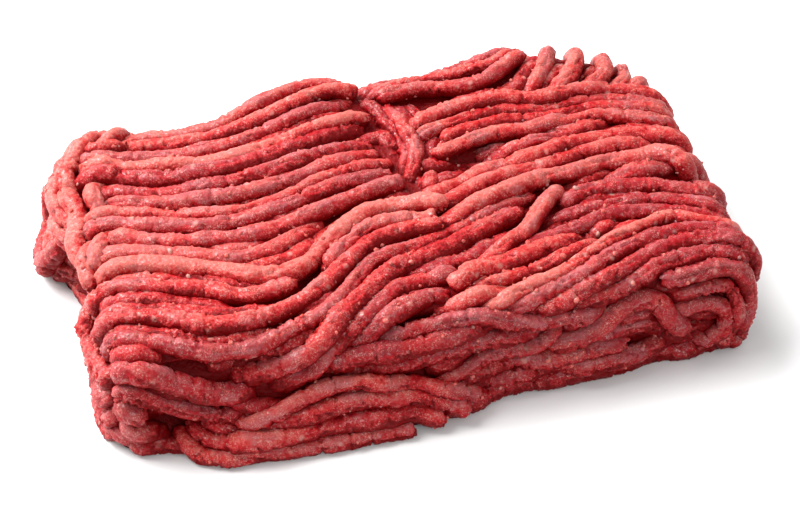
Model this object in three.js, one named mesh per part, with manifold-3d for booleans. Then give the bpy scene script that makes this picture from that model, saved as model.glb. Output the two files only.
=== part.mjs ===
// A block of freshly minced meat, as it comes off the mincer plate: thick round strands laid
// side by side in ribbons over a rounded block, folded down over its ends and its long sides.
// Millimetres, +X along the block, -Y its front, +Z up. It lies on its flat underside at z = 0.
import * as THREE from "three";
import { mergeVertices } from "three/addons/utils/BufferGeometryUtils.js";
import Module from "manifold-3d";

const wasm = await Module();
wasm.setup();

// Driving dimensions.
const blockLength = 188;
const blockDepth = 112;
const blockHeight = 36;
const strandDiameter = 5.4;
const strandSides = 5;
const straightPiece = 30; // length of one flat-sided piece where a strand runs straight
const turnPiece = 0.7; // the turn, in radians, that costs one more piece
const guideStep = 9; // the spacing of the places that a strand passes
const edgeRadius = 8; // of the line through the strands, where it rolls over an edge
const corePieces = [16, 10, 3]; // the core's flat pieces along X, Y and Z
const wobble = 0.45; // the uneven lie of a strand, to each side
const radiusSpread = 0.2; // how much thinner or thicker a strand may be
const groundShare = 0.8; // of a strand's radius, which its centre keeps above the ground
const weldDistance = 1e-4; // corners of a tube or box closer than this are one
const seed = 41;

// Places worked out from them.
const strandRadius = strandDiameter / 2;
const flatX = blockLength / 2 - strandRadius - edgeRadius;
const flatY = blockDepth / 2 - strandRadius - edgeRadius;
const topZ = blockHeight - strandRadius;
const turnZ = topZ - edgeRadius;
const quarter = (Math.PI / 2) * edgeRadius;

// Where the top swells up or sinks in: place, reach along X and Y, and height.
const swells = [
  { x: -14, y: 52, reachX: 34, reachY: 24, height: 5.5 },
  { x: 20, y: 58, reachX: 28, reachY: 22, height: 3.5 },
  { x: 50, y: 56, reachX: 34, reachY: 30, height: 7.5 },
  { x: -62, y: 58, reachX: 36, reachY: 28, height: -5 },
  { x: 22, y: 10, reachX: 20, reachY: 7, height: -4 },
  { x: 52, y: -35, reachX: 26, reachY: 14, height: 1.5 },
  { x: 90, y: -12, reachX: 9, reachY: 9, height: -5 },
];

// Where a side spreads or draws in below the top: the middle of that stretch and its reach along
// the side, the height at which it ends, how far out it goes, and how fast it fades both ways.
const feet = [
  { side: "front", middle: -33, reach: 44, high: 24, out: 11, fadeAlong: 4, fadeUp: 1 },
  { side: "front", middle: 30, reach: 32, high: 12, out: 3, fadeAlong: 2, fadeUp: 1 },
  { side: "left", middle: 38, reach: 40, high: 36, out: 10, fadeAlong: 2, fadeUp: 2 },
  { side: "left", middle: 4, reach: 16, high: 34, out: -5, fadeAlong: 2, fadeUp: 4 },
  { side: "left", middle: -34, reach: 24, high: 30, out: 2.5, fadeAlong: 2, fadeUp: 2 },
  { side: "right", middle: -8, reach: 26, high: 34, out: -3, fadeAlong: 2, fadeUp: 4 },
];

// How the corners draw in, seen from above: from which sum of the shares of length and depth,
// how far for each whole share more, at the back and at the front, and how much of that along Y.
const corners = { from: 1.5, back: 18, front: 5, shareY: 0.6 };

// Even draws from 0 to 1, the same at each build: a multiplier under a prime, and a few let pass.
const multiplier = 16807;
const prime = 2147483647;
const letPass = 8;
let drawn = seed;
function draw() {
  drawn = (drawn * multiplier) % prime;
  return drawn / prime;
}
for (let i = 0; i < letPass; i++) draw();

function spread(size) {
  return (draw() * 2 - 1) * size;
}

function swellAt(x, y) {
  let height = 0;
  for (const s of swells) {
    const far = Math.hypot((x - s.x) / s.reachX, (y - s.y) / s.reachY);
    if (far < 1) height += s.height * (1 - far * far) ** 2;
  }
  return height;
}

function footAt(foot, along, z) {
  const aside = Math.min(1, Math.abs((along - foot.middle) / foot.reach));
  const up = THREE.MathUtils.clamp(z / foot.high, 0, 1);
  return foot.out * (1 - aside ** foot.fadeAlong) * (1 - up ** foot.fadeUp);
}

// Moves a place of the plain block to where the swells, feet and corners have it.
function settle(p) {
  const { x, y, z } = p;
  for (const foot of feet) {
    if (foot.side === "front" && y < -flatY) p.y -= footAt(foot, x, z);
    if (foot.side === "left" && x < -flatX) p.x -= footAt(foot, y, z);
    if (foot.side === "right" && x > flatX) p.x += footAt(foot, y, z);
  }
  const corner = (2 * Math.abs(x)) / blockLength + (2 * Math.abs(y)) / blockDepth - corners.from;
  if (corner > 0) {
    const cut = corner * (y > 0 ? corners.back : corners.front);
    p.x -= Math.sign(x) * cut;
    p.y -= Math.sign(y) * cut * corners.shareY;
  }
  p.z += (swellAt(x, y) * z) / topZ;
  return p;
}

// The block's skin, unrolled: u runs along X and v along Y from the middle of the top, over the
// rounded edges and down the sides to the foot. lift moves a place out of the skin.
function onSkin(u, v, lift) {
  const overX = Math.sign(u) * Math.max(0, Math.abs(u) - flatX);
  const overY = Math.sign(v) * Math.max(0, Math.abs(v) - flatY);
  const over = Math.hypot(overX, overY);
  const turn = Math.min(over / edgeRadius, Math.PI / 2);
  const out = (edgeRadius + lift) * Math.sin(turn);
  const x = u - overX + (over ? (overX / over) * out : 0);
  const y = v - overY + (over ? (overY / over) * out : 0);
  const drop = Math.max(0, over - quarter);
  const z = turnZ + (edgeRadius + lift) * Math.cos(turn) - drop;
  return settle(new THREE.Vector3(x, y, z));
}

// The ribbons. Each has a first and a last strand, given by a few places [u, v] on the unrolled
// skin from left to right, and rows strands between and with them. lift is [at the start, at the
// end]; starts and stops say where along its way a row begins or ends, where it isn't 0 and 1.
const ribbons = [
  {
    name: "back left, sagging and then climbing to a raised end",
    first: [[-100, 50], [-84, 48], [-72, 46], [-60, 45], [-46, 45], [-30, 48], [-15, 51], [-2, 52]],
    last: [[-100, 0], [-84, -1], [-72, -5], [-60, -9], [-46, -10], [-31, -7], [-18, -2], [4, 5]],
    rows: 9,
    lift: [0, 2],
    starts: [0, 0, 0, 0, 0, 0.05, 0.08, 0.05, 0],
    stops: [0.97, 1, 0.74, 1, 0.96, 0.93, 1, 0.97, 1],
  },
  {
    name: "short row below it",
    first: [[-96, -6], [-82, -7], [-70, -11], [-58, -16], [-47, -17], [-36, -14], [-24, -8]],
    rows: 1,
    lift: [0, 0],
  },
  {
    name: "middle left, swinging up in an S",
    first: [[-98, -12], [-80, -14], [-60, -20], [-50, -25], [-41, -27], [-33, -25], [-26, -18],
      [-17, -11], [-7, -6], [2, -7], [10, -12]],
    last: [[-98, -32], [-82, -35], [-70, -40], [-60, -45], [-50, -45], [-40, -42], [-30, -36],
      [-22, -28], [-15, -22], [-4, -19], [9, -18]],
    rows: 4,
    lift: [0.5, 1.2],
    stops: [1, 0.5, 0.98, 1],
  },
  {
    name: "edge strand that runs on to the right",
    first: [[-98, -40], [-86, -43], [-72, -48], [-60, -51], [-50, -51], [-38, -48], [-28, -43],
      [-19, -33], [-10, -26], [2, -24], [12, -20], [22, -14], [38, -9]],
    rows: 1,
    lift: [1, 1],
  },
  {
    name: "out of the front face and over the edge",
    first: [[-58, -63], [-44, -58], [-33, -53], [-25, -46], [-17, -39], [-10, -33], [2, -30],
      [14, -25], [32, -16]],
    last: [[-48, -66], [-37, -62], [-29, -56], [-22, -50], [-16, -45], [-9, -40], [0, -38], [9, -39]],
    rows: 2,
    lift: [0, 0.6],
  },
  {
    name: "thin lip over the dark gap",
    first: [[-34, -61], [-25, -56], [-18, -51], [-11, -47], [-4, -45], [5, -45]],
    rows: 1,
    lift: [-0.4, 0.4],
  },
  {
    name: "front face, left, running down to the right",
    first: [[-96, -46], [-86, -48], [-76, -54], [-66, -59], [-54, -62]],
    last: [[-96, -62], [-86, -66], [-76, -73], [-64, -77], [-48, -78]],
    rows: 3,
    lift: [1.2, -0.5],
  },
  {
    name: "front face, low, behind the fringe",
    first: [[-62, -68], [-50, -71], [-38, -70], [-24, -67], [-10, -67]],
    rows: 1,
    lift: [-1, -1],
  },
  {
    name: "fringe on the ground before the front face",
    first: [[-66, -76], [-54, -73], [-42, -69], [-30, -67], [-18, -68], [-6, -72], [8, -79]],
    last: [[-74, -81], [-62, -82], [-48, -82], [-34, -82], [-22, -82], [-10, -81], [3, -81]],
    rows: 4,
    lift: [1, 1.5],
    stops: [1, 0.78, 0.9, 1],
  },
  {
    name: "front face, middle",
    first: [[-8, -76], [0, -71], [10, -68], [22, -66], [34, -62]],
    last: [[4, -80], [14, -78], [28, -77], [44, -78], [70, -80]],
    rows: 3,
    lift: [0.5, 0.5],
  },
  {
    name: "front face, right, bending down",
    first: [[26, -72], [38, -67], [50, -60], [59, -59], [66, -64], [70, -73]],
    rows: 1,
    lift: [0.5, 1],
  },
  {
    name: "wavy strand along the front edge",
    first: [[-18, -61], [-6, -59], [0, -54], [7, -52], [15, -57], [28, -57], [38, -57], [47, -60]],
    rows: 1,
    lift: [0.2, 0.4],
  },
  {
    name: "upper right, with blunt tips",
    first: [[10, 27], [20, 31], [30, 34], [40, 34], [50, 31], [60, 33], [70, 33], [82, 30], [100, 24]],
    last: [[13, 14], [22, 16], [32, 18], [42, 18], [52, 19], [62, 20], [73, 19], [84, 15], [102, 9]],
    rows: 4,
    lift: [2, 0],
    starts: [0, 0, 0.05, 0],
  },
  {
    name: "end of a row with a fat tip",
    first: [[30, 11], [40, 13], [50, 15], [60, 16], [70, 18]],
    rows: 1,
    lift: [-1.5, 1],
  },
  {
    name: "middle right",
    first: [[9, -5], [20, 0], [30, 4], [40, 6], [50, 8], [62, 10], [74, 10], [86, 5], [102, -1]],
    last: [[12, -14], [22, -10], [32, -7], [42, -5], [52, -4], [62, -2], [74, -3], [85, -9], [94, -16]],
    rows: 3,
    lift: [0.8, 0.4],
    stops: [1, 0.83, 1],
  },
  {
    name: "loop round the hollow in the right end",
    first: [[58, -10], [70, -8], [80, -6], [92, -6], [101, -12], [98, -20], [86, -19]],
    rows: 1,
    lift: [0, 1.5],
  },
  {
    name: "diagonal strand with a fat end",
    first: [[14, -37], [22, -32], [30, -26], [38, -18], [46, -11]],
    rows: 1,
    lift: [0.4, 1.8],
  },
  {
    name: "dull rows of the right half",
    first: [[44, -16], [54, -13], [65, -14], [76, -17], [98, -27]],
    last: [[18, -32], [32, -30], [46, -27], [60, -25], [74, -27], [98, -38]],
    rows: 3,
    lift: [-0.3, -0.3],
    starts: [0, 0.1, 0],
  },
  {
    name: "coral rows of the right half",
    first: [[4, -40], [14, -39], [24, -37], [34, -35], [44, -33]],
    last: [[6, -45], [16, -44], [26, -42], [37, -39], [49, -35]],
    rows: 2,
    lift: [0.4, 0.6],
  },
  {
    name: "front right, over the shoulder",
    first: [[10, -51], [22, -49], [32, -46], [42, -42], [52, -37], [62, -33], [72, -31], [82, -35],
      [101, -43]],
    last: [[30, -62], [42, -56], [54, -52], [66, -48], [76, -47], [86, -50], [100, -57]],
    rows: 4,
    lift: [1, 1],
  },
  {
    name: "fold at the front right corner",
    first: [[62, -54], [72, -52], [83, -52], [94, -56], [101, -66], [100, -78], [84, -82]],
    last: [[64, -64], [74, -62], [82, -65], [87, -72], [80, -78], [72, -80]],
    rows: 2,
    lift: [1.5, 0.5],
  },
  {
    name: "far back",
    first: [[3, 43], [18, 44], [32, 43], [44, 45], [54, 52]],
    last: [[-2, 58], [14, 60], [30, 60], [46, 61], [60, 64]],
    rows: 3,
    lift: [0.6, 0.8],
  },
  {
    name: "fan across the back right corner",
    first: [[47, 35], [54, 42], [59, 50], [60, 62], [58, 76]],
    last: [[78, 37], [84, 45], [90, 54], [93, 64], [90, 76]],
    rows: 5,
    lift: [1.6, 0.6],
  },
  {
    name: "back face",
    first: [[-90, 58], [-60, 56], [-30, 60], [0, 66], [40, 70]],
    last: [[-100, 78], [-50, 80], [0, 81], [50, 81], [100, 79]],
    rows: 4,
    lift: [0, 0],
  },
  {
    name: "left end, along the top edge and down the end",
    first: [[-86, 56], [-92, 40], [-94, 24], [-92, 6], [-92, -14]],
    last: [[-118, 46], [-120, 28], [-118, 8], [-119, -14], [-118, -42]],
    rows: 5,
    lift: [1, 1.5],
    stops: [1, 0.8, 1, 0.9, 1],
  },
  {
    name: "left end, lobes of the front corner",
    first: [[-100, -14], [-104, -26], [-102, -38], [-97, -52], [-88, -64]],
    last: [[-116, -30], [-114, -44], [-108, -57], [-95, -72], [-80, -81]],
    rows: 3,
    lift: [1.5, 2],
  },
  {
    name: "right end",
    first: [[99, 42], [105, 28], [103, 12], [105, -4], [105, -24], [101, -42]],
    last: [[116, 46], [118, 24], [116, 0], [117, -22], [114, -50]],
    rows: 3,
    lift: [0, 0.5],
  },
];

function placesAlong(places) {
  return new THREE.SplineCurve(places.map(([u, v]) => new THREE.Vector2(u, v)));
}

// The centre lines of one ribbon's strands, each a curve in space.
function ribbonPaths(ribbon) {
  const first = placesAlong(ribbon.first);
  const last = placesAlong(ribbon.last ?? ribbon.first);
  const steps = Math.ceil(first.getLength() / guideStep);
  const paths = [];
  for (let row = 0; row < ribbon.rows; row++) {
    const across = ribbon.rows > 1 ? row / (ribbon.rows - 1) : 0;
    const start = ribbon.starts?.[row] ?? 0;
    const stop = ribbon.stops?.[row] ?? 1;
    const points = [];
    for (let i = 0; i <= steps; i++) {
      const t = start + ((stop - start) * i) / steps;
      const place = first.getPoint(t).lerp(last.getPoint(t), across);
      const [liftStart, liftEnd] = ribbon.lift;
      const lift = liftStart + (liftEnd - liftStart) * t;
      const point = onSkin(place.x + spread(wobble), place.y + spread(wobble), lift + spread(wobble));
      point.z = Math.max(point.z, strandRadius * groundShare);
      points.push(point);
    }
    paths.push(new THREE.CatmullRomCurve3(points));
  }
  return paths;
}

function solidOf(geometry) {
  const bare = geometry.clone();
  bare.deleteAttribute("normal");
  bare.deleteAttribute("uv");
  const merged = mergeVertices(bare, weldDistance);
  return new wasm.Manifold(new wasm.Mesh({
    numProp: 3,
    vertProperties: new Float32Array(merged.attributes.position.array),
    triVerts: new Uint32Array(merged.index.array),
  }));
}

// How far a curve turns in all, in radians, its small wobbles left out.
function turnOf(path) {
  const sights = Math.max(2, Math.round(path.getLength() / (2 * guideStep)));
  let turn = 0;
  for (let i = 1; i < sights; i++) {
    turn += path.getTangentAt((i - 0.5) / sights).angleTo(path.getTangentAt((i + 0.5) / sights));
  }
  return turn;
}

function strand(path) {
  const radius = strandRadius + spread(radiusSpread);
  const section = new THREE.Shape();
  for (let i = 0; i < strandSides; i++) {
    const angle = (i / strandSides) * 2 * Math.PI;
    section[i ? "lineTo" : "moveTo"](radius * Math.cos(angle), radius * Math.sin(angle));
  }
  const steps = Math.max(2, Math.round(path.getLength() / straightPiece + turnOf(path) / turnPiece));
  return solidOf(new THREE.ExtrudeGeometry(section, { steps, extrudePath: path }));
}

// The core, out to the strands' centres: a box with rounded edges, swells, feet and corners.
function core() {
  const halfX = flatX + edgeRadius;
  const halfY = flatY + edgeRadius;
  const box = new THREE.BoxGeometry(2 * halfX, 2 * halfY, topZ, ...corePieces);
  box.translate(0, 0, topZ / 2);
  const place = box.attributes.position;
  for (let i = 0; i < place.count; i++) {
    const p = new THREE.Vector3().fromBufferAttribute(place, i);
    const inner = new THREE.Vector3(
      THREE.MathUtils.clamp(p.x, -flatX, flatX),
      THREE.MathUtils.clamp(p.y, -flatY, flatY),
      Math.min(p.z, turnZ),
    );
    const away = p.clone().sub(inner);
    if (away.length() > edgeRadius) p.copy(inner).addScaledVector(away.normalize(), edgeRadius);
    settle(p);
    place.setXYZ(i, p.x, p.y, p.z);
  }
  return solidOf(box);
}

// What lies below the ground is cut off, so that the underside is one flat face.
function ground() {
  const slab = new THREE.BoxGeometry(blockLength * 2, blockDepth * 2, blockHeight);
  slab.translate(0, 0, -blockHeight / 2);
  return solidOf(slab);
}

// The largest closed shell alone: this drops loose scraps and fills sealed hollows.
function wholeOf(solid) {
  return solid.decompose().reduce((best, shell) => (shell.volume() > best.volume() ? shell : best));
}

function block() {
  let solid = core();
  for (const ribbon of ribbons) {
    for (const path of ribbonPaths(ribbon)) solid = solid.add(strand(path));
  }
  const mesh = wholeOf(solid.subtract(ground())).getMesh();
  const geometry = new THREE.BufferGeometry();
  geometry.setAttribute("position", new THREE.Float32BufferAttribute(mesh.vertProperties, mesh.numProp));
  geometry.setIndex(new THREE.Uint32BufferAttribute(mesh.triVerts, 1));
  geometry.computeBoundingBox();
  const middle = geometry.boundingBox.getCenter(new THREE.Vector3());
  geometry.translate(-middle.x, -middle.y, 0);
  return geometry;
}

const meat = new THREE.MeshStandardMaterial({ color: 0xc0453f, roughness: 0.5, metalness: 0 });

const part = new THREE.Group();
const mince = new THREE.Mesh(block(), meat);
mince.name = "mince_block";
part.add(mince);

export default part;
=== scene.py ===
# Raw minced meat: a low block of thick strands, laid in wavy ribbons, on a pale floor.
# The layout is in millimetres, as in the part's source; meshes are made in metres.
import math
import random

import bpy
import bmesh
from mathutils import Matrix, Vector, kdtree, noise


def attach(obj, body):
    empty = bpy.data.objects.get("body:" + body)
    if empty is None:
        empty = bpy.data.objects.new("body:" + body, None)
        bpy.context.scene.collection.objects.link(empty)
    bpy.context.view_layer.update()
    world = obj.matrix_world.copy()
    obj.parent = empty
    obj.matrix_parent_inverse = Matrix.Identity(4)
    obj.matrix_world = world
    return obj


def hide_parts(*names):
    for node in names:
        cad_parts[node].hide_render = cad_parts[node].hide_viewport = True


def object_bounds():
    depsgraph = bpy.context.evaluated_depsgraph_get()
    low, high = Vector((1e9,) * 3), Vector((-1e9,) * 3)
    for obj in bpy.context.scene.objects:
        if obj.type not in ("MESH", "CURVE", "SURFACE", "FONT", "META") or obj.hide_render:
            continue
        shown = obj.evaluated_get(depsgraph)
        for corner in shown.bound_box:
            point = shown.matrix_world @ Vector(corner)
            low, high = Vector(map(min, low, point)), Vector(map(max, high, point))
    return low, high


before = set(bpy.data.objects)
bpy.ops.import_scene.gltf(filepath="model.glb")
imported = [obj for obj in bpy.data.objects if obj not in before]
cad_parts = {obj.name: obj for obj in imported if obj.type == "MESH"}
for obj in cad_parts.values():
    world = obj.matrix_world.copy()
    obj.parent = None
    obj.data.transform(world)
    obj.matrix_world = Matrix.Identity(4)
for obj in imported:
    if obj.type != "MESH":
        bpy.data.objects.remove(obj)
cadLow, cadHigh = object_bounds()
mm = 0.001

# The block under the strands, as in the part's source.
block = {
    "length": 188, "depth": 112, "height": 36,
    "strand": 5.4,  # diameter
    "edge": 8,  # radius at which strands roll over an edge
    "middle": (-4.90, -5.63),  # the middle of the finished heap in this layout
}
flatX = block["length"] / 2 - block["strand"] / 2 - block["edge"]
flatY = block["depth"] / 2 - block["strand"] / 2 - block["edge"]
topZ = block["height"] - block["strand"] / 2
turnZ = topZ - block["edge"]
quarter = math.pi / 2 * block["edge"]

# Where the top swells up or sinks in: place, reach along X and Y, height.
swells = [
    (-14, 52, 34, 24, 5.5),
    (20, 58, 28, 22, 3.5),
    (50, 56, 34, 30, 7.5),
    (-62, 58, 36, 28, -5),
    (22, 10, 20, 7, -4),
    (52, -35, 26, 14, 1.5),
    (90, -12, 9, 9, -5),
]
# Where a side spreads or draws in below the top: the middle of that stretch and its reach along
# the side, the height at which it ends, how far out it goes, and how fast it fades both ways.
feet = [
    ("front", -33, 44, 24, 11, 4, 1),
    ("front", 30, 32, 12, 3, 2, 1),
    ("left", 38, 40, 36, 10, 2, 2),
    ("left", 4, 16, 34, -5, 2, 4),
    ("left", -34, 24, 30, 2.5, 2, 2),
    ("right", -8, 26, 34, -3, 2, 4),
]

# How the corners draw in, seen from above: from which sum of the shares of length and depth,
# how far for each whole share more, at the back and at the front, and how much of that along Y.
corners = {"from": 1.5, "back": 18, "front": 5, "shareY": 0.6}


def clamp(value, low, high):
    return max(low, min(high, value))


def between(pair, t):
    return pair[0] + (pair[1] - pair[0]) * t


def swellAt(x, y):
    height = 0
    for sx, sy, reachX, reachY, high in swells:
        far = math.hypot((x - sx) / reachX, (y - sy) / reachY)
        if far < 1:
            height += high * (1 - far * far) ** 2
    return height


def footAt(foot, along, z):
    middle, reach, high, out, fadeAlong, fadeUp = foot[1:]
    aside = min(1, abs((along - middle) / reach))
    return out * (1 - aside ** fadeAlong) * (1 - clamp(z / high, 0, 1) ** fadeUp)


def settle(x, y, z, share=1):  # moves a place of the plain block by swells, feet and corners
    moved = Vector((x, y, z))
    for foot in feet:
        if foot[0] == "front" and y < -flatY:
            moved.y -= footAt(foot, x, z) * share
        if foot[0] == "left" and x < -flatX:
            moved.x -= footAt(foot, y, z) * share
        if foot[0] == "right" and x > flatX:
            moved.x += footAt(foot, y, z) * share
    corner = abs(x) * 2 / block["length"] + abs(y) * 2 / block["depth"] - corners["from"]
    if corner > 0:
        cut = corner * corners["back" if y > 0 else "front"]
        moved.x -= math.copysign(cut, x)
        moved.y -= math.copysign(cut * corners["shareY"], y)
    moved.z += swellAt(x, y) * z / topZ
    return moved


def onSkin(u, v, lift):  # the skin unrolled: u along X, v along Y, over the edges, down the sides
    overX = math.copysign(max(0, abs(u) - flatX), u)
    overY = math.copysign(max(0, abs(v) - flatY), v)
    over = math.hypot(overX, overY)
    turn = min(over / block["edge"], math.pi / 2)
    out = (block["edge"] + lift) * math.sin(turn)
    x = u - overX + (overX / over * out if over else 0)
    y = v - overY + (overY / over * out if over else 0)
    z = turnZ + (block["edge"] + lift) * math.cos(turn) - max(0, over - quarter)
    return settle(x, y, z)


# Hollows between the strands, where the core shows, painted dark as shade: place on the skin, reach,
# depth.
hollows = [
    (-68, -56, 14, 3.5, 4), (-68, -75, 14, 5, 6), (-9, -52.5, 10, 4.5, 7), (26, 8, 15, 5, 4),
    (30, -80, 9, 5, 4), (88, -14, 7, 5, 5), (-31, -28.5, 6, 4.5, 5), (-108, 22, 5, 7, 3),
    (-24, -21, 6, 4.5, 5), (-86, 26, 4, 10, 3),
]


def hollowAt(u, v):
    depth = 0
    for hu, hv, reachU, reachV, deep in hollows:
        far = math.hypot((u - hu) / reachU, (v - hv) / reachV)
        if far < 1:
            depth = max(depth, deep * (1 - far ** 3))
    return depth


def unrolled(x, y, z):  # the place on the skin over a place of the plain block
    overX = max(0, abs(x) - flatX)
    overY = max(0, abs(y) - flatY)
    aside = math.hypot(overX, overY)
    over = block["edge"] * math.atan2(aside, z - turnZ) if z > turnZ else quarter + turnZ - z
    shareX = overX / aside if aside else 0
    shareY = overY / aside if aside else 0
    u = math.copysign(min(abs(x), flatX) + over * shareX, x)
    v = math.copysign(min(abs(y), flatY) + over * shareY, y)
    return u, v


def toScene(place):
    return Vector((place[0] - block["middle"][0], place[1] - block["middle"][1], place[2])) * mm


# The ribbons of strands: a first and a last row by their places [u, v], rows in all, lift at both
# ends, and looks: dull is a greyish film from 0 to 1, pale is a smooth salmon surface from 0 to 1,
# wild is how torn and short the strands are, girth their share of the usual radius, and tones how
# much duller each row is. Starts and stops are the shares of the way at which each row begins and
# ends. Whole rows aren't broken up and pass over hollows, and showing says which of the two ends
# stay in sight.
def band(piece, rows, lift, dull, first, last=None, **more):  # one ribbon
    plain = {
        "starts": [0] * rows, "stops": [1] * rows, "tones": [0] * rows,
        "pale": 0, "wild": 0, "girth": 1, "whole": False, "showing": (False, False),
    }
    own = {"piece": piece, "rows": rows, "lift": lift, "dull": dull, "first": first}
    return {**plain, **own, "last": last or first, **more}


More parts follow.
